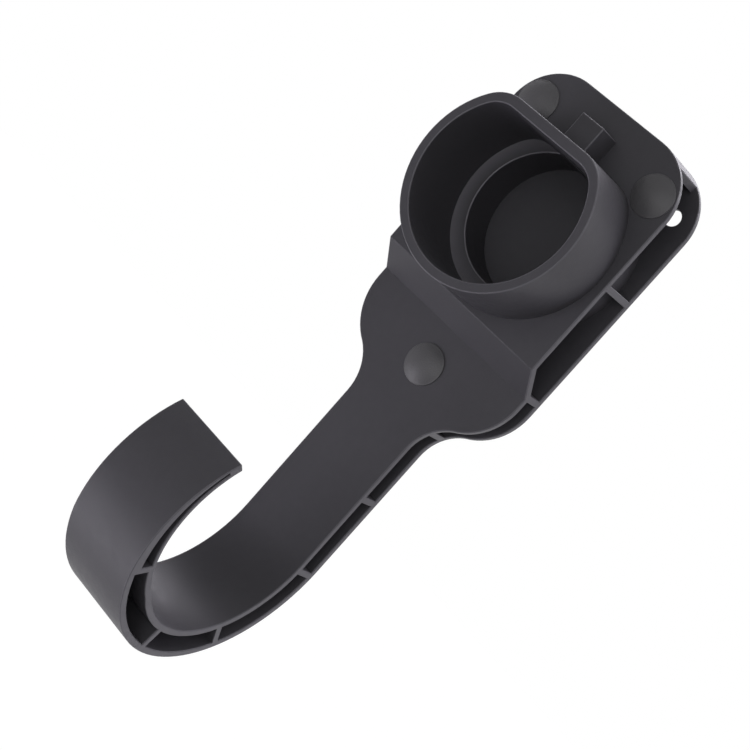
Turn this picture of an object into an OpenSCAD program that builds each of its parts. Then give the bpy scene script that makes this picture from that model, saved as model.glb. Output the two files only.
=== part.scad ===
// Wall holder for an EV charging plug, with a cable hook.
// Millimetres. X is across the plate, Y goes into the wall, Z is up.
// The wall face is y = 0 and the socket axis is x = 0, z = 0.

/* [Wall plate] */
// Width of the plate
plate_w = 84.8; // [82:0.2:96]
// Height of the top edge above the socket axis
plate_top = 53; // [51:0.5:60]
// Depth of the raised plate, from the wall to its front face
plate_d = 26; // [24:0.5:32]
// Radius of the upper corners
corner_r = 22; // [18:0.5:23]
// Half length of the wall that closes the top edge
top_wall_half = 31.2; // [24:0.2:33]

/* [Ramp and lower plate] */
// Distance from the socket axis down to the top of the ramp
ramp_top = 40.5; // [39.5:0.5:46]
// Height of the ramp
ramp_h = 10.8; // [8:0.2:16]
// Radius of the lower lobes
lobe_r = 26; // [22:0.5:30]
// Distance from the foot of the ramp down to the lobe centres
lobe_drop = 4.6; // [3:0.2:12]
// Radius of the hollow neck between a lobe and the strap
neck_r = 20.8; // [14:0.2:26]

/* [Strap and hook] */
// Width of the strap and the hook
strap_w = 37; // [30:0.5:40]
// Depth of the lower plate, the strap and the hook
strap_d = 13.4; // [11.5:0.2:16]
// Distance from the socket axis down to the hook centre
hook_drop = 157.8; // [150:0.5:190]
// Outer radius of the hook
hook_r = 54.6; // [46:0.2:64]
// Distance by which the inside of the hook end is moved outwards
open_shift = 6; // [4:0.1:7]
// Angle round the hook towards which that inside is moved
open_angle = 220; // [212:1:226]
// Difference between the outer radius of the hook and that of its tip
tip_narrow = 2.9; // [2:0.1:3.2]
// Distance of the tip curve's centre from the hook centre
tip_shift = 3.9; // [3.6:0.1:4.8]
// Angle round the hook at which the tip curve's centre lies
tip_curve_angle = 113; // [105:1:120]
// Angle round the hook at which the tip ends
tip_angle = 216; // [206:0.5:218]

/* [Skins and ribs] */
// Thickness of the front and back skins
skin_t = 2.8; // [2.2:0.1:3.2]
// Thickness of the cross ribs
rib_t = 2.8; // [2:0.1:3.6]
// Thickness of the web along the middle
web_t = 2.4; // [1.8:0.1:3.6]
// Distance of the ramp rib above the foot of the ramp
ramp_rib_up = 1; // [0:0.1:2]
// Distance of the upper strap rib below the socket axis
strap_rib_upper = 85.6; // [78:0.2:92]
// Distance of the lower strap rib below the socket axis
strap_rib_lower = 122.6; // [112:0.2:134]
// Angle round the hook of its first rib
hook_rib_first = 3.5; // [0:0.5:20]
// Angle round the hook of its second rib
hook_rib_second = 55; // [40:0.5:70]
// Angle round the hook of its third rib
hook_rib_third = 100.5; // [85:0.5:115]
// Angle round the hook of the rib where the tip starts
tip_rib = 154.5; // [144:0.5:160]
// Distance from the outer radius of the hook to the hollow of its end
tip_skin = 4.6; // [3.6:0.1:5]
// Solid stretch at the tip, as an angle round the hook
tip_solid = 6; // [4:0.5:12]
// Inner skin of the hook end
tip_inner_skin = 1.8; // [1.6:0.1:2.4]

/* [Socket] */
// Inner radius of the round side of the socket
socket_r = 35; // [33.5:0.1:36]
// Height of the inner flat above the socket axis
socket_flat = 26.2; // [24.5:0.1:27]
// Wall of the round side
socket_wall = 3.8; // [2.6:0.1:4]
// Wall of the flat side
flat_wall = 4.4; // [3:0.1:4.6]
// Inner radius of the two corners beside the flat
socket_corner = 12.4; // [9:0.2:14]
// Distance from the raised plate to the rim
socket_reach = 32.6; // [26:0.2:44]
// Distance from the wall to the ledge inside
ledge_y = 21.5; // [18:0.5:22.5]
// Radius of the round bore behind the ledge
bore_r = 28.6; // [26:0.1:29]
// Outer radius of the tube behind the raised plate
tube_r = 36.6; // [34:0.1:37]

/* [Latch catch] */
// Width of the catch block
catch_w = 11.4; // [10.4:0.1:14]
// Height of the catch block above the flat
catch_h = 11.8; // [9:0.1:13]
// Distance from the raised plate to the front of the catch block
catch_reach = 13.6; // [11:0.1:18]
// Wall of the hollow catch block
catch_wall = 2.2; // [1.8:0.1:2.6]

/* [Screws and caps] */
// Distance of the upper screws from the sides of the plate
screw_side = 10.4; // [9.6:0.1:10.8]
// Distance of the upper screws from the top edge
screw_below = 17.2; // [16:0.1:17.6]
// Distance of the lower screw below the socket axis
screw_drop = 68.2; // [66:0.2:72]
// Screw hole through the back skin
screw_hole_d = 7; // [4.5:0.1:8]
// Hole in the front skin for the screwdriver
access_d = 12.2; // [10:0.1:12.4]
// Diameter of the cap head
cap_d = 17.4; // [15:0.1:17.8]
// Height of the cap dome
cap_rise = 2.4; // [1.6:0.1:3.6]
// Straight edge under the cap dome
cap_edge = 0.5; // [0.3:0.1:1]
// Gap between the cap spigot and its hole
cap_gap = 0.1; // [0.05:0.05:0.3]
// Wall of the cap spigot
spigot_wall = 1.4; // [1:0.1:2]
// Length of the cap spigot behind the front skin
spigot_tail = 2; // [1.6:0.1:3]

/* [Hidden] */
$fn = 96;
cut = 1;
seam = 0.05;
half_w = plate_w / 2;
strap_half = strap_w / 2;
corner_x = half_w - corner_r;
corner_z = plate_top - corner_r;
ramp_foot = ramp_top + ramp_h;
lobe_x = half_w - lobe_r;
lobe_z = -(ramp_foot + lobe_drop);
neck_x = strap_half + neck_r;
neck_z = lobe_z - sqrt(pow(lobe_r + neck_r - seam, 2) - pow(neck_x - lobe_x, 2));
ramp_angle = atan((plate_d - strap_d) / ramp_h);
ramp_in = skin_t * tan(ramp_angle / 2);
hook_y = -hook_r;
hook_in = hook_r - strap_d;
hook_low = hook_drop + hook_r;
tip_curve_r = hook_r - tip_narrow;
screw_x = half_w - screw_side;
screw_z = plate_top - screw_below;
rib_drops = [0, ramp_foot - ramp_rib_up, strap_rib_upper, strap_rib_lower];
rib_angles = [hook_rib_first, hook_rib_second, hook_rib_third, tip_rib];
flat_out = socket_flat + flat_wall;
socket_out = socket_r + socket_wall;
rim_y = plate_d + socket_reach;
slot_w = catch_w - 2 * catch_wall;
slot_base = socket_flat - cut;
slot_h = flat_out + catch_h - catch_wall - slot_base;
spigot_r = access_d / 2 - cap_gap;
spigot_l = skin_t + spigot_tail;
dome_r = (pow(cap_d / 2, 2) + pow(cap_rise, 2)) / (2 * cap_rise);
charcoal = [0.16, 0.16, 0.17];
cap_grey = [0.2, 0.2, 0.21];

// Front outline, x across and z up. The inset moves the top part inwards.
module outline_2d(inset = 0) {
    for (s = [-1, 1]) {
        translate([s * corner_x, corner_z]) circle(r = corner_r - inset);
        translate([s * lobe_x, lobe_z]) circle(r = lobe_r - inset);
    }
    translate([-half_w + inset, lobe_z]) square([plate_w - 2 * inset, corner_z - lobe_z]);
    translate([-corner_x, 0]) square([2 * corner_x, plate_top - inset]);
    translate([-lobe_x, lobe_z - lobe_r + inset]) square([2 * lobe_x, lobe_r]);
}

// Neck and strap below the lobes
module neck_2d() {
    difference() {
        polygon([[-lobe_x, lobe_z], [lobe_x, lobe_z], [neck_x, neck_z], [-neck_x, neck_z]]);
        for (s = [-1, 1]) translate([s * neck_x, neck_z]) circle(r = neck_r);
    }
    translate([-strap_half, -hook_low - cut]) square([strap_w, hook_low + cut + lobe_z]);
}

// Pie slice round the hook centre, between two angles below the horizontal
module slice_2d(a, b) {
    step = (b - a) / 3;
    far = 3 * hook_r;
    polygon([[0, 0], far * [cos(a), -sin(a)], far * [cos(a + step), -sin(a + step)],
             far * [cos(b - step), -sin(b - step)], far * [cos(b), -sin(b)]]);
}

// Inside of the hook: a disc, and the same disc moved towards the tip
module hook_inside_2d(extra = 0) {
    circle(r = hook_in + extra);
    translate(open_shift * [cos(open_angle), -sin(open_angle)]) circle(r = hook_in + extra);
}

// Whole side shape of the hook, round its own centre
module hook_2d() {
    difference() {
        intersection() {
            circle(r = hook_r);
            union() {
                slice_2d(0, tip_curve_angle);
                intersection() {
                    translate(tip_shift * [cos(tip_curve_angle), -sin(tip_curve_angle)])
                        circle(r = tip_curve_r);
                    slice_2d(90, tip_angle);
                }
            }
        }
        hook_inside_2d();
    }
}

// Hollow of the hook between its skins, with the ribs left standing
module hook_hollow_2d() {
    difference() {
        union() {
            intersection() {
                difference() {
                    circle(r = hook_r - skin_t);
                    hook_inside_2d(skin_t);
                }
                slice_2d(0, tip_rib);
            }
            intersection() {
                difference() {
                    circle(r = hook_r - tip_skin);
                    hook_inside_2d(tip_inner_skin);
                }
                slice_2d(tip_rib, tip_angle - tip_solid);
            }
        }
        for (a = rib_angles) rotate(-a) translate([0, -rib_t / 2]) square([hook_r, rib_t]);
    }
}

// Side shape of the plate, ramp and strap, y across and z up
module side_2d() {
    polygon([[0, plate_top], [-plate_d, plate_top], [-plate_d, -ramp_top], [-strap_d, -ramp_foot],
             [-strap_d, -hook_drop], [0, -hook_drop]]);
    translate([hook_y, -hook_drop]) hook_2d();
}

// Hollow between the skins, with the ribs left standing
module side_hollow_2d() {
    difference() {
        polygon([[-skin_t, plate_top + cut], [skin_t - plate_d, plate_top + cut],
                 [skin_t - plate_d, ramp_in - ramp_top], [skin_t - strap_d, ramp_in - ramp_foot],
                 [skin_t - strap_d, -hook_drop], [-skin_t, -hook_drop]]);
        for (z = rib_drops) translate([-plate_d, -z - rib_t / 2]) square([plate_d, rib_t]);
    }
    translate([hook_y, -hook_drop]) hook_hollow_2d();
}

// D shape with rounded corners beside the flat
module d_2d(r, flat, corner) {
    cz = flat - corner;
    cx = sqrt(pow(r - corner, 2) - pow(cz, 2));
    touch = r / (r - corner);
    intersection() {
        circle(r = r);
        translate([-r, -r]) square([2 * r, r + cz * touch]);
    }
    translate([-cx, 0]) square([2 * cx, flat]);
    for (s = [-1, 1]) translate([s * cx, cz]) circle(r = corner);
}

// Extrudes a side shape across the width
module across(width) {
    rotate([90, 0, 90]) linear_extrude(height = width, center = true) children();
}

// Extrudes a front shape between two distances from the wall
module deep(from, to) {
    translate([0, -from, 0]) rotate([90, 0, 0]) linear_extrude(height = to - from) children();
}

// Skins, ribs and web inside the front outline
module frame_shell() {
    intersection() {
        deep(0, 2 * hook_r) union() {
            outline_2d();
            neck_2d();
        }
        union() {
            across(plate_w + 2 * cut) difference() {
                side_2d();
                side_hollow_2d();
            }
            across(web_t) side_2d();
        }
    }
}

// Wall along the top edge, between the skins
module top_wall() {
    deep(0, plate_d) intersection() {
        difference() {
            outline_2d();
            outline_2d(skin_t);
        }
        translate([-top_wall_half, corner_z]) square([2 * top_wall_half, corner_r + cut]);
    }
}

// Outside of the socket, the tube behind it and the catch block
module socket_solid() {
    deep(plate_d - skin_t, rim_y) d_2d(socket_out, flat_out, socket_corner + socket_wall);
    deep(skin_t / 2, plate_d - skin_t / 2) circle(r = tube_r);
    translate([-catch_w / 2, -plate_d - catch_reach, flat_out - cut])
        cube([catch_w, catch_reach + cut, catch_h + cut]);
}

// Everything cut out of the socket
module socket_hollow() {
    deep(ledge_y, rim_y + cut) d_2d(socket_r, socket_flat, socket_corner);
    deep(skin_t, ledge_y + cut) intersection() {
        circle(r = bore_r);
        translate([-bore_r - cut, -bore_r - cut]) square([2 * (bore_r + cut), bore_r + cut + socket_flat]);
    }
    translate([-slot_w / 2, -plate_d - catch_reach + catch_wall, slot_base])
        cube([slot_w, plate_d + catch_reach - catch_wall + cut, slot_h]);
}

// Screw holes in the back skin and access holes in the front skin
module screw_cuts() {
    for (p = [[-screw_x, screw_z, plate_d], [screw_x, screw_z, plate_d], [0, -screw_drop, strap_d]]) {
        translate([p[0], 0, p[1]]) rotate([90, 0, 0]) {
            translate([0, 0, -cut]) cylinder(h = skin_t + 2 * cut, d = screw_hole_d);
            translate([0, 0, skin_t]) cylinder(h = p[2] - skin_t + cut, d = access_d);
        }
    }
}

module holder_body() {
    color(charcoal) difference() {
        union() {
            frame_shell();
            top_wall();
            socket_solid();
        }
        socket_hollow();
        screw_cuts();
    }
}

// One cap, its axis along z, with the head's underside at z = 0
module screw_cap() {
    intersection() {
        translate([0, 0, cap_edge + cap_rise - dome_r]) sphere(r = dome_r);
        cylinder(h = cap_edge + cap_rise + cut, d = cap_d);
    }
    difference() {
        translate([0, 0, -spigot_l]) cylinder(h = spigot_l + cap_edge / 2, r = spigot_r);
        translate([0, 0, -spigot_l - cut]) cylinder(h = spigot_l + cut, r = spigot_r - spigot_wall);
    }
}

module cap_at(x, z, depth) {
    color(cap_grey) translate([x, -depth, z]) rotate([90, 0, 0]) screw_cap();
}

module screw_cap_left() {
    cap_at(-screw_x, screw_z, plate_d);
}

module screw_cap_right() {
    cap_at(screw_x, screw_z, plate_d);
}

module screw_cap_lower() {
    cap_at(0, -screw_drop, strap_d);
}

holder_body();
screw_cap_left();
screw_cap_right();
screw_cap_lower();
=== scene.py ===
# %% [markdown]
# # A wall holder for a charging plug
# The holder is one charcoal plastic moulding with three push-in screw caps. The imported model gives
# every shape at its real size, so this lesson adds what a camera sees: soft edges, a fine mould
# grain, a studio and the viewpoint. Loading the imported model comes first, and its box is kept for
# the end.

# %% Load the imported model
import math

import bmesh
import bpy
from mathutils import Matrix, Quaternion, Vector


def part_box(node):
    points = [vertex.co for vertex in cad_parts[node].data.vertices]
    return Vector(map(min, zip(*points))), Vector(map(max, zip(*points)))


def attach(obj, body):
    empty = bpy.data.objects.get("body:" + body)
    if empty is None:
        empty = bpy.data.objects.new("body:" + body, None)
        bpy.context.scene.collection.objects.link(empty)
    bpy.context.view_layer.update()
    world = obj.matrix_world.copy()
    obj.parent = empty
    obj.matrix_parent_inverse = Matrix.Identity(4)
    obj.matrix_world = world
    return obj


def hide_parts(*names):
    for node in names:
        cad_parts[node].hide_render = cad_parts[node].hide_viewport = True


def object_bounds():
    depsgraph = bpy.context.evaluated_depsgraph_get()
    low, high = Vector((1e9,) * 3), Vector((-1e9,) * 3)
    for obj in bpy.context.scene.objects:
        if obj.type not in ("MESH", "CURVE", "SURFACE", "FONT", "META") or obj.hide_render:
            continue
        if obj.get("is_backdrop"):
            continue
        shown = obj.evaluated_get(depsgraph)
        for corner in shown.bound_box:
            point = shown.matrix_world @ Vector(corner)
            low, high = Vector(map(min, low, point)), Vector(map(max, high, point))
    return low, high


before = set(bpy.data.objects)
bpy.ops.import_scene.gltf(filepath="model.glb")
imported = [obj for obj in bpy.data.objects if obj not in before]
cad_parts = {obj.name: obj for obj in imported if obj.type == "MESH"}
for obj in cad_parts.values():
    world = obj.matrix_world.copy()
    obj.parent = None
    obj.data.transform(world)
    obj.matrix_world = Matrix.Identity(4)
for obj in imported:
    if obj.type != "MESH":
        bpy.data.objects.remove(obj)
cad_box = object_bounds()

MM = 0.001
print("nodes:", sorted(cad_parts))
print("box in mm:", [[round(c / MM, 1) for c in corner] for corner in cad_box])

# %% [markdown]
# ## The viewpoint
# The picture was taken from the right of the holder, level with its socket, with the camera rolled
# so that the holder lies across the frame. A camera can be placed by a matrix, but nobody can read
# one. A point to stand on, a point to look at and a roll angle say the same in plain numbers.

# %% Camera
EYE = Vector((330.6, -605.6, -0.2)) * MM
AIM = Vector((-3.7, -30.0, -82.5)) * MM
ROLL = math.radians(41.4)
FIELD = math.radians(23.985)


def place_camera():
    data = bpy.data.cameras.new("viewpoint")
    data.sensor_fit = "HORIZONTAL"
    data.angle = FIELD
    camera = bpy.data.objects.new("viewpoint", data)
    camera.rotation_mode = "QUATERNION"
    camera.location = EYE
    level = (AIM - EYE).to_track_quat("-Z", "Y")
    camera.rotation_quaternion = level @ Quaternion((0, 0, 1), ROLL)
    bpy.context.scene.collection.objects.link(camera)
    bpy.context.scene.camera = camera


place_camera()
print("camera is", round((AIM - EYE).length, 3), "m from its aim")

# %% [markdown]
# ## Shader sums in plain Python
# A finish is a sum of small patterns. Written as nodes and links, such a sum is hard to read, so one
# small class stands for a socket and lets Python's own signs add the Math nodes.
# Every other node comes from its one method, which sets the node up first and then fills its sockets.


# %% A socket that can be added and multiplied
class Socket:
    """An output socket in a node tree."""

    def __init__(self, tree, output=None):
        self.tree = tree
        self.output = output

    def node(self, kind, settings=None, sockets=None, output=0):
        """Adds a node, sets it up, fills its sockets and returns one of its outputs."""
        made = self.tree.nodes.new(kind)
        for name, value in (settings or {}).items():
            setattr(made, name, value)
        for name, value in (sockets or {}).items():
            if isinstance(value, Socket):
                self.tree.links.new(value.output, made.inputs[name])
            else:
                made.inputs[name].default_value = value
        return Socket(self.tree, made.outputs[output])

    def maths(self, operation, first, second):
        return self.node("ShaderNodeMath", {"operation": operation}, {0: first, 1: second})

    def __add__(self, other):
        return self.maths("ADD", self, other)

    def __sub__(self, other):
        return self.maths("SUBTRACT", self, other)

    def __rsub__(self, other):
        return self.maths("SUBTRACT", other, self)

    def __mul__(self, other):
        return self.maths("MULTIPLY", self, other)

    __radd__ = __add__
    __rmul__ = __mul__


print("sockets take the signs + - *")

# %% [markdown]
# ## Charcoal plastic
# The moulding is black plastic with a spark-eroded grain: pits about half a millimetre apart that
# scatter the light, so that flat faces look matt. A picture of the grain would have to be wrapped
# round the part and would repeat, so noises on the object's own coordinates make it: one for the
# pits, one for their rougher and smoother patches, and a slow third one for the faint flow marks of
# the melt. Parts of the mould are polished instead, and there the plastic gets a thin clear gloss and
# a base colour painted paler, which is a painted highlight. Two numbers on each face say where: one
# is the gloss and painted highlight on edges and sides, and ledge is how fast the gloss and a painted
# light grow with the distance from the socket's axis, beyond the bore.

# %% Plastic finish
TONE_SPREAD = 0.16
FLOW_MARKS = 34.0
PITS_ACROSS_PATCH = 7
PATCH_ROUGHNESS = 0.16
PIT_ROUGHNESS = 0.12
# How much paler the base colour is painted wherever the gloss carries a painted highlight or painted
# light.
PAINTED_LIGHT_PALER = 22.0
BORE = 28.6
GLOSS_ROUGHNESS = 0.3


def plastic(name, colour, grain_mm, depth_mm, rough, mirror):
    """A grained dark plastic: the middle of its roughness, and how much of the room it mirrors."""
    material = bpy.data.materials.new(name)
    material.use_nodes = True
    tree = material.node_tree
    shader = tree.nodes["Principled BSDF"]
    at = Socket(tree)
    place = at.node("ShaderNodeTexCoord", output="Object")

    def noise(size_mm, detail):
        return at.node("ShaderNodeTexNoise", {"noise_dimensions": "3D"},
                       {"Vector": place, "Scale": 1 / (size_mm * MM), "Detail": detail,
                        "Roughness": 0.6})

    pits = noise(grain_mm, 2.0)
    patches = noise(PITS_ACROSS_PATCH * grain_mm, 1.0)
    flow = noise(FLOW_MARKS, 1.0)
    across = at.node("ShaderNodeVectorMath", {"operation": "MULTIPLY"},
                     {0: place, 1: (1.0, 0.0, 1.0)})
    from_axis = at.node("ShaderNodeVectorMath", {"operation": "LENGTH"}, {0: across}, output="Value")
    ledge = at.node("ShaderNodeAttribute", {"attribute_name": "ledge"}, output="Fac")
    gloss_and_painted_highlight = at.node("ShaderNodeAttribute", {"attribute_name": "gloss_and_painted_highlight"}, output="Fac")
    # A clear coat that is also painted light: it makes the base colour paler below, as a painted
    # highlight on edges and sides and as painted light on the ledge, growing towards the socket wall.
    gloss_and_painted_light = gloss_and_painted_highlight + ledge * (from_axis - BORE * MM)
    dark = tuple((1 - TONE_SPREAD) * c for c in colour) + (1.0,)
    light = tuple((1 + TONE_SPREAD) * c for c in colour) + (1.0,)
    pale = 0.45 * flow + 0.3 * patches + 0.25 * pits + PAINTED_LIGHT_PALER * gloss_and_painted_light
    tone = at.node("ShaderNodeMix", {"data_type": "RGBA", "clamp_factor": False},
                   {0: pale, 6: dark, 7: light}, output=2)
    roughness = rough + PATCH_ROUGHNESS * (patches - 0.5) + PIT_ROUGHNESS * (0.5 - pits)
    bump = at.node("ShaderNodeBump", None,
                   {"Strength": 1.0, "Distance": depth_mm * MM, "Height": pits + 0.4 * patches})
    tree.links.new(tone.output, shader.inputs["Base Color"])
    tree.links.new(roughness.output, shader.inputs["Roughness"])
    tree.links.new(bump.output, shader.inputs["Normal"])
    tree.links.new(gloss_and_painted_light.output, shader.inputs["Coat Weight"])
    shader.inputs["Coat Roughness"].default_value = GLOSS_ROUGHNESS
    shader.inputs["Specular IOR Level"].default_value = mirror
    print(name, "has", len(tree.nodes), "nodes")
    return material


body_plastic = plastic("charcoal_body", (0.0468, 0.0452, 0.0508), 0.5, 0.03, 0.44, 0.12)
cap_plastic = plastic("charcoal_cap", (0.063, 0.0615, 0.0655), 0.6, 0.11, 0.42, 0.21)

# %% [markdown]
# ## The moulding
# A tool maker never leaves a knife edge: every outer edge of the real part has a small radius, and
# that radius is what draws the pale line along each skin and rib, made paler still by a painted
# highlight on the rounded faces further down. A shader can fake it, but an exported mesh would lose
# it, so the Bevel modifier makes it. The imported mesh is copied, its loose triangles are merged and
# its flat faces made whole again. Then only the edges that stand out get a weight for the modifier,
# and the inner corners are left alone. Last, each corner of a face gets its own normal, so that flat
# faces stay flat up to a crease while rounded ones run on smoothly.

# %% Whole flat faces
SAME_POINT = 0.002 * MM
SAME_PLANE = math.radians(0.4)
SHARP = math.radians(30)


def whole_faces(mesh):
    """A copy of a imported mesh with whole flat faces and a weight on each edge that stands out."""
    shape = bmesh.new()
    shape.from_mesh(mesh)
    bmesh.ops.remove_doubles(shape, verts=shape.verts, dist=SAME_POINT)
    bmesh.ops.dissolve_limit(shape, angle_limit=SAME_PLANE, verts=shape.verts, edges=shape.edges)
    weight = shape.edges.layers.float.new("bevel_weight_edge")
    for edge in shape.edges:
        edge[weight] = float(edge.is_convex and edge.calc_face_angle() > SHARP)
    for face in shape.faces:
        face.smooth = True
    copy = bpy.data.meshes.new("moulding")
    shape.to_mesh(copy)
    shape.free()
    print(len(mesh.polygons), "triangles are now", len(copy.polygons), "whole faces")
    return copy


# %% Level normals
BLEND = math.radians(44)


def level_normals(mesh):
    """Shades each corner by the faces round it that bend away by less than BLEND, by their area."""
    least = math.cos(BLEND)
    around = [[] for _ in mesh.vertices]
    for face in mesh.polygons:
        for index in face.vertices:
            around[index].append((face.normal.copy(), face.area))
    normals = []
    for face in mesh.polygons:
        for index in face.vertices:
            near = [area * normal for normal, area in around[index] if normal.dot(face.normal) > least]
            normals.append(sum(near, Vector()).normalized())
    mesh.normals_split_custom_set(normals)
    print("normals set on", len(normals), "corners")


# %% Rounded edges
EDGE_ROUND = 0.45 * MM
EDGE_STEPS = 3
ROUNDED = 1


def rounded_body():
    """The moulding with rounded edges. Their faces get the second of two equal materials, as a mark."""
    whole = whole_faces(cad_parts["holder_body"].data)
    draft = bpy.data.objects.new("moulding_draft", whole)
    bpy.context.scene.collection.objects.link(draft)
    for _ in range(2):
        draft.data.materials.append(body_plastic)
    bevel = draft.modifiers.new("edges", "BEVEL")
    bevel.limit_method = "WEIGHT"
    bevel.width = EDGE_ROUND
    bevel.segments = EDGE_STEPS
    bevel.use_clamp_overlap = False
    bevel.material = ROUNDED
    ready = draft.evaluated_get(bpy.context.evaluated_depsgraph_get())
    result = bpy.data.meshes.new_from_object(ready)
    bpy.data.objects.remove(draft)
    level_normals(result)
    return result


rounded = rounded_body()
print("rounded moulding has", len(rounded.polygons), "faces")

# %% [markdown]
# ### Where the moulding gets gloss and a painted highlight
# The slides of the mould that shape the ends of skins and ribs are polished, and so is nearly every
# rounded edge, most of all the one round the bore; there the clear gloss comes with a base colour
# painted paler, a painted highlight. The edge above the ramp and those at the plate's upper corners
# keep the grain, and on the ledge in the socket the gloss and a painted light fade from the wall to
# the bore. Faces painted by hand would be lost with the next change of size, so each face is asked
# where it lies and which way it looks. The sizes here are in millimetres.

# %% Places of gloss and painted highlight
# Coat weight and painted highlight on rounded edges and sides, stronger on the bore's edge; on the
# ledge, gloss and painted light per metre beyond the bore.
EDGE_GLOSS_AND_PAINTED_HIGHLIGHT = 0.1
BORE_EDGE_GLOSS_AND_PAINTED_HIGHLIGHT = 0.22
LEDGE_GLOSS_AND_PAINTED_LIGHT = 32.0
LEDGE = 21.5
LEDGE_REACH = 36.0
RAISED_PLATE = 27.0
RAMP_TOP = 40.5
RAMP_FOOT = 51.0
HOOK_LEVEL = 100.0
PLATE_SIDE = 38.5
STRAP_SIDE = 17.5
TOP_CORNER = 32.0


def is_side(face):
    """True for the ends of skins and ribs along the outline, seen from the left or the right."""
    spot = face.center / MM
    on_socket = spot.y < -RAISED_PLATE and spot.z > -HOOK_LEVEL
    by_plate = abs(spot.x) > PLATE_SIDE
    by_strap = abs(spot.x) > STRAP_SIDE and spot.z < -RAMP_FOOT
    return abs(face.normal.x) > 0.4 and not on_socket and (by_plate or by_strap)


def is_ledge(face):
    """True for the flat ring in the socket, where the plug comes to rest."""
    spot = face.center / MM
    in_plane = face.normal.y < -0.9 and abs(spot.y + LEDGE) < 0.3
    return in_plane and math.hypot(spot.x, spot.z) < LEDGE_REACH


def is_bore_edge(face):
    """True for the rounded edge where the ledge turns into the bore."""
    spot = face.center / MM
    at_bore = abs(spot.y + LEDGE) < 1 and math.hypot(spot.x, spot.z) < BORE + 1
    return face.material_index == ROUNDED and at_bore


def is_edge(face):
    """True for a rounded edge, but not above the ramp or at the plate's upper corners."""
    spot = face.center / MM
    above_ramp = abs(spot.z + RAMP_TOP) < 1 and abs(face.normal.x) < 0.3
    at_corner = abs(spot.x) > TOP_CORNER and spot.z > TOP_CORNER
    return face.material_index == ROUNDED and not above_ramp and not at_corner


# Gloss and painted highlight of a face: the most on the bore's edge, less on other rounded edges and on
# the ends of skins and ribs.
def gloss_and_painted_highlight_of(face):
    if is_bore_edge(face):
        return BORE_EDGE_GLOSS_AND_PAINTED_HIGHLIGHT
    return EDGE_GLOSS_AND_PAINTED_HIGHLIGHT * (is_edge(face) or is_side(face))


# %% Finished moulding
def write_on_faces(mesh, name, values):
    mesh.attributes.new(name, "FLOAT", "FACE").data.foreach_set("value", values)
    print(name, "is on", sum(value > 0 for value in values), "of", len(values), "faces")


def finish_body(mesh):
    """Writes the gloss and painted highlight of each face, and the painted light on the ledge, and
    leaves the moulding with one material.
    """
    write_on_faces(mesh, "gloss_and_painted_highlight", [gloss_and_painted_highlight_of(face) for face in mesh.polygons])
    # Painted light on the ledge: the base colour is painted paler towards the socket wall and fades to
    # nothing at the bore.
    write_on_faces(mesh, "ledge", [LEDGE_GLOSS_AND_PAINTED_LIGHT * is_ledge(face) for face in mesh.polygons])
    mesh.materials.clear()
    mesh.materials.append(body_plastic)
    mesh.polygons.foreach_set("material_index", [0] * len(mesh.polygons))
    body = bpy.data.objects.new("moulding", mesh)
    bpy.context.scene.collection.objects.link(body)
    return body


moulding = finish_body(rounded)
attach(moulding, "root")
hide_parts("holder_body")

# %% [markdown]
# ## The screw caps
# Three equal caps hide the wall screws: a low dome with a soft edge over a short hollow spigot.
# They are turned shapes. A lathe modifier would make one of them, but its profile would be fixed, so
# a node tree sweeps the profile round a circle, and its named inputs hold the sizes. Each cap runs
# the same tree with another place.

# %% Cap sizes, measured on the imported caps
CAP_NODES = ("screw_cap_left", "screw_cap_right", "screw_cap_lower")
EDGE_HEIGHT = 0.5 * MM
EDGE_SOFT = 0.45 * MM
SPIGOT_WALL = 1.4 * MM
SPIGOT_END = 0.1 * MM
NEAR_RIM = 0.98
STEPS_ROUND = 96


def cap_sizes(node):
    """Head radius, dome rise, spigot radius, spigot length and the place of the head's underside."""
    low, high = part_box(node)
    middle = (low + high) / 2
    radius = (high.x - low.x) / 2
    verts = [v.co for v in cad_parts[node].data.vertices]
    spread = [(math.hypot(v.x - middle.x, v.z - middle.z), v.y) for v in verts]
    under = max(y for out, y in spread if out > NEAR_RIM * radius)
    spigot = max(out for out, y in spread if y > high.y - SPIGOT_END)
    place = Vector((middle.x, under, middle.z))
    return radius, under - low.y - EDGE_HEIGHT, spigot, high.y - under, place


for name in CAP_NODES:
    print(name, [round(s / MM, 2) for s in cap_sizes(name)[:4]])

# %% Profile of a cap
DOME_MIDDLE = 0.75
DOME_POINTS = 17
SOFT_START = 0.35
SOFT_MIDDLE = (0.22, 0.08)
SOFT_END = 0.8
SOFT_POINTS = 6


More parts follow.
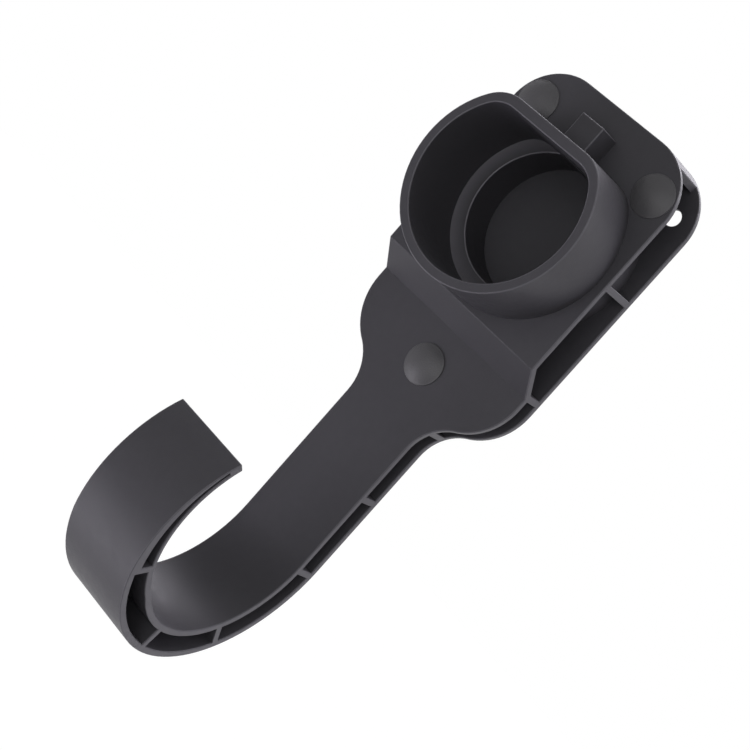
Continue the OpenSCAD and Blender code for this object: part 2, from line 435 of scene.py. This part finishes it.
def cap_profile(at, size, core):
    """The curves of half a cap, from the middle of the dome round to the middle of its underside."""

    def point(radius, height):
        """The sweep's own circle lies at the core radius, and its Y looks down."""
        return at.node("ShaderNodeCombineXYZ", None, {"X": radius - core, "Y": 0 - height})

    def line(start, end):
        return at.node("GeometryNodeCurvePrimitiveLine", None, {"Start": start, "End": end})

    def arc(start, middle, end, points):
        return at.node("GeometryNodeCurveArc", {"mode": "POINTS"},
                       {"Resolution": points, "Start": start, "Middle": middle, "End": end})

    head = size["Head Radius"]
    soft = size["Edge Soft"]
    edge_top = size["Edge Height"]
    outer = size["Spigot Radius"]
    inner = outer - size["Spigot Wall"]
    bottom = 0 - size["Spigot Length"]
    zero = 0 * head
    shoulder = head - soft
    top = edge_top + size["Dome Rise"]
    dome_low = edge_top + SOFT_START * soft
    dome_high = DOME_MIDDLE * top + (1 - DOME_MIDDLE) * dome_low
    dome_end = point(shoulder, dome_low)
    soft_middle = point(head - SOFT_MIDDLE[0] * soft, edge_top - SOFT_MIDDLE[1] * soft)
    soft_end = point(head, edge_top - SOFT_END * soft)
    corners = [soft_end, point(head, zero), point(outer, zero), point(outer, bottom),
               point(inner, bottom), point(inner, zero), point(zero, zero)]
    dome = arc(point(zero, top), point(0.5 * shoulder, dome_high), dome_end, DOME_POINTS)
    edge = arc(dome_end, soft_middle, soft_end, SOFT_POINTS)
    return [dome, edge] + [line(start, end) for start, end in zip(corners, corners[1:])]


# %% Turned cap as a node tree
CAP_LENGTHS = ("Head Radius", "Dome Rise", "Edge Height", "Edge Soft", "Spigot Radius", "Spigot Wall",
               "Spigot Length")
CAP_INPUTS = {name: "NodeSocketFloat" for name in CAP_LENGTHS}
CAP_INPUTS |= {"Steps Round": "NodeSocketInt", "Place": "NodeSocketVector",
               "Finish": "NodeSocketMaterial"}


def cap_tree():
    tree = bpy.data.node_groups.new("turned_cap", "GeometryNodeTree")
    tree.interface.new_socket("Geometry", in_out="OUTPUT", socket_type="NodeSocketGeometry")
    for name, kind in CAP_INPUTS.items():
        tree.interface.new_socket(name, in_out="INPUT", socket_type=kind)
    entry = tree.nodes.new("NodeGroupInput")
    at = Socket(tree)
    size = {socket.name: Socket(tree, socket) for socket in entry.outputs if socket.name}
    core = 0.5 * (size["Spigot Radius"] - size["Spigot Wall"])
    joined = tree.nodes.new("GeometryNodeJoinGeometry")
    for curve in reversed(cap_profile(at, size, core)):
        tree.links.new(curve.output, joined.inputs[0])
    ring = at.node("GeometryNodeCurvePrimitiveCircle", {"mode": "RADIUS"},
                   {"Resolution": size["Steps Round"], "Radius": core})
    ring = at.node("GeometryNodeSetCurveNormal", {"mode": "Z_UP"}, {"Curve": ring})
    swept = at.node("GeometryNodeCurveToMesh", None,
                    {"Curve": ring, "Profile Curve": Socket(tree, joined.outputs[0])})
    closed = at.node("GeometryNodeMergeByDistance", None, {"Geometry": swept, "Distance": SAME_POINT})
    corner = at.node("GeometryNodeInputMeshEdgeAngle")
    is_sharp = at.node("FunctionNodeCompare", {"data_type": "FLOAT", "operation": "GREATER_THAN"},
                       {0: corner, 1: SHARP})
    smooth = at.node("GeometryNodeSetShadeSmooth", {"domain": "EDGE"},
                     {"Geometry": closed, "Selection": is_sharp, "Shade Smooth": False})
    spot = at.node("GeometryNodePoints", None, {"Count": 1, "Position": size["Place"]})
    seated = at.node("GeometryNodeInstanceOnPoints", None,
                     {"Points": spot, "Instance": smooth, "Rotation": (math.pi / 2, 0, 0)})
    real = at.node("GeometryNodeRealizeInstances", None, {"Geometry": seated})
    finished = at.node("GeometryNodeSetMaterial", None, {"Geometry": real, "Material": size["Finish"]})
    leave = tree.nodes.new("NodeGroupOutput")
    tree.links.new(finished.output, leave.inputs[0])
    return tree


turned_cap = cap_tree()
print("cap tree has", len(turned_cap.nodes), "nodes")


# %% One piece for each cap
def make_cap(node):
    radius, rise, spigot, length, place = cap_sizes(node)
    values = {"Head Radius": radius, "Dome Rise": rise, "Edge Height": EDGE_HEIGHT,
              "Edge Soft": EDGE_SOFT, "Spigot Radius": spigot, "Spigot Wall": SPIGOT_WALL,
              "Spigot Length": length, "Steps Round": STEPS_ROUND, "Place": place,
              "Finish": cap_plastic}
    draft = bpy.data.objects.new(node + "_draft", bpy.data.meshes.new(node + "_draft"))
    bpy.context.scene.collection.objects.link(draft)
    turned = draft.modifiers.new("turned", "NODES")
    turned.node_group = turned_cap
    for item in turned_cap.interface.items_tree:
        if item.in_out == "INPUT":
            turned[item.identifier] = values[item.name]
    ready = draft.evaluated_get(bpy.context.evaluated_depsgraph_get())
    mesh = bpy.data.meshes.new_from_object(ready)
    bpy.data.objects.remove(draft)
    cap = bpy.data.objects.new(node.replace("screw_cap", "cap"), mesh)
    bpy.context.scene.collection.objects.link(cap)
    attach(cap, "root")
    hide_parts(node)
    return cap


caps = [make_cap(node) for node in CAP_NODES]
print("caps have", [len(cap.data.polygons) for cap in caps], "faces each")

# %% [markdown]
# ## The studio
# The holder hangs free in a white room, and the floor lies well below the hook. Lamps strong enough
# to turn the room white would bleach the plastic too. So the floor and the world are white where the
# camera or a reflection looks at them, and give only a little light themselves. Large soft lamps
# then draw the slow changes of tone along the curved walls.

# %% Floor and world
WHITE = (1.0, 1.0, 1.0, 1.0)
FLOOR_COLOUR = (0.9, 0.9, 0.9, 1.0)
FLOOR_ROUGHNESS = 0.9
FLOOR_DROP = 1.2
FLOOR_SIZE = 12.0
FLOOR_GLOW = 0.9
FLOOR_WHITE = 1.1
AMBIENT = 0.1


def seen_directly(tree):
    """One where the camera or a reflection looks at the room, zero where the room gives light."""
    ray = tree.nodes.new("ShaderNodeLightPath")
    direct = Socket(tree, ray.outputs["Is Camera Ray"]) + Socket(tree, ray.outputs["Is Glossy Ray"])
    return direct + Socket(tree, ray.outputs["Is Transmission Ray"])


def lay_floor():
    low = cad_box[0].z - FLOOR_DROP
    half = FLOOR_SIZE / 2
    corners = [(-half, -half, low), (half, -half, low), (half, half, low), (-half, half, low)]
    mesh = bpy.data.meshes.new("floor")
    mesh.from_pydata(corners, [], [(0, 1, 2, 3)])
    material = bpy.data.materials.new("pale_floor")
    material.use_nodes = True
    tree = material.node_tree
    shader = tree.nodes["Principled BSDF"]
    shader.inputs["Base Color"].default_value = FLOOR_COLOUR
    shader.inputs["Roughness"].default_value = FLOOR_ROUGHNESS
    at = Socket(tree)
    glow = at.node("ShaderNodeEmission", None, {"Color": WHITE, "Strength": FLOOR_WHITE})
    plain = Socket(tree, shader.outputs[0])
    shown = at.node("ShaderNodeMixShader", None,
                    {0: FLOOR_GLOW * seen_directly(tree), 1: plain, 2: glow})
    tree.links.new(shown.output, tree.nodes["Material Output"].inputs["Surface"])
    mesh.materials.append(material)
    floor = bpy.data.objects.new("floor", mesh)
    bpy.context.scene.collection.objects.link(floor)
    floor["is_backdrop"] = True
    return floor


def white_room():
    world = bpy.data.worlds.new("white_room")
    bpy.context.scene.world = world
    world.use_nodes = True
    tree = world.node_tree
    tree.nodes.clear()
    at = Socket(tree)
    light = at.node("ShaderNodeBackground", None, {"Color": WHITE, "Strength": AMBIENT})
    white = at.node("ShaderNodeBackground", None, {"Color": WHITE, "Strength": 1.0})
    mixed = at.node("ShaderNodeMixShader", None, {0: seen_directly(tree), 1: light, 2: white})
    leave = tree.nodes.new("ShaderNodeOutputWorld")
    tree.links.new(mixed.output, leave.inputs["Surface"])


floor = lay_floor()
white_room()
print("floor is", round((cad_box[0].z - floor.data.vertices[0].co.z), 2), "m below the hook")

# %% Lamps: where each one hangs, its power in watts and its tint
MIDDLE = (cad_box[0] + cad_box[1]) / 2
LAMP_DISTANCE = 1.2
LAMP_SIZE = 0.9
COOL = (0.94, 0.91, 1.0)
PLAIN = (1.0, 1.0, 1.0)
LAMPS = {
    "key": ((-0.45, -0.5, -0.74), 10.5, COOL),
    "front": ((0.0, -1.0, 0.1), 3.2, PLAIN),
    "front_right": ((0.5, -0.86, 0.1), 4.2, PLAIN),
    "right_top": ((0.8, -0.4, 0.5), 1.4, PLAIN),
    "right_back": ((0.7, 0.45, 0.55), 6.4, COOL),
    "right_back_low": ((0.5, 0.65, -0.55), 2.4, COOL),
    "top": ((0.1, 0.1, 1.0), 4.2, PLAIN),
    "top_back": ((-0.1, 0.75, 0.65), 7.0, COOL),
    "left_back_top": ((-0.65, 0.45, 0.65), 9.6, COOL),
}


def softbox(name, direction, power, colour):
    data = bpy.data.lights.new(name, "AREA")
    data.shape = "DISK"
    data.size = LAMP_SIZE
    data.energy = power
    data.color = colour
    lamp = bpy.data.objects.new(name, data)
    lamp.location = MIDDLE + Vector(direction).normalized() * LAMP_DISTANCE
    lamp.rotation_mode = "QUATERNION"
    lamp.rotation_quaternion = (MIDDLE - lamp.location).to_track_quat("-Z", "Y")
    bpy.context.scene.collection.objects.link(lamp)
    return lamp


lamps = [softbox(name, *setting) for name, setting in LAMPS.items()]
print("lamps:", [lamp.name for lamp in lamps])

# %% [markdown]
# The Standard view shows colours as they are written. The two boxes, of the imported model and of the
# finished one, are measured, and how far the finished one has grown is printed in millimetres.

# %% Finish
bpy.context.scene.view_settings.view_transform = "Standard"
seen_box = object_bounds()
grown = [[round((s - c) / MM, 3) for s, c in zip(*pair)] for pair in zip(seen_box, cad_box)]
print("grown by mm:", grown)
